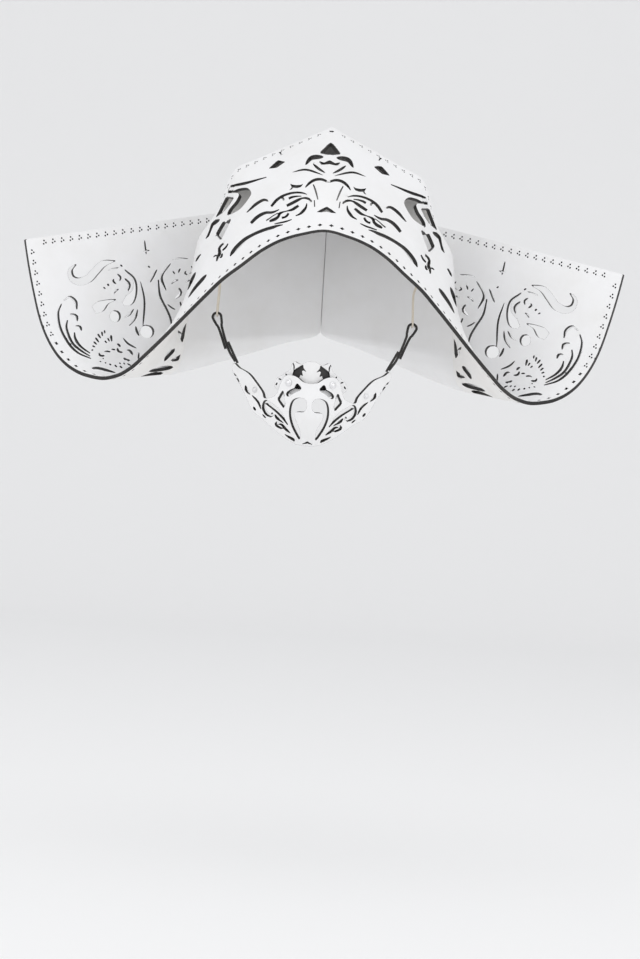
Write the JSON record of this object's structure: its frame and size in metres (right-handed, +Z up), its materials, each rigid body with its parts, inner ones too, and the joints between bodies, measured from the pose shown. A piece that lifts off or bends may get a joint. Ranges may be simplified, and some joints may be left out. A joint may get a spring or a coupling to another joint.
{
  "type": "cornette",
  "caption": "Winged cornette of pierced white leather with scrollwork cut through it and a pierced chin piece hung from two straps below its rim.",
  "frame": {"origin": "centre of the wearer's head, level with the two wing tips and 20 mm below the middle of the brow rim", "axes": "+X to the wearer's left (the right of the picture) and along the span of the wings, -Y to the front where the wearer looks, +Z up"},
  "size_m": [0.467, 0.2516, 0.2511],
  "materials": {
    "white_leather": "smooth white face with black painted cut edges",
    "plain_leather": "smooth, unpierced, slightly duller white",
    "beige_elastic": "covered round elastic, matte beige",
    "pale_rivet": "pale domed heads, satin"
  },
  "bodies": {
    "root": {"hood_sheet": "white_leather", "chin_piece": "white_leather", "mouth_plate": "white_leather", "strap_left": "white_leather", "strap_right": "white_leather", "crown_back": "plain_leather", "back_strip": "plain_leather", "elastic_left": "beige_elastic", "elastic_right": "beige_elastic", "upper_rivet_left": "pale_rivet", "upper_rivet_right": "pale_rivet", "lower_rivet_left": "pale_rivet", "lower_rivet_right": "pale_rivet"}
  },
  "joints": []
}
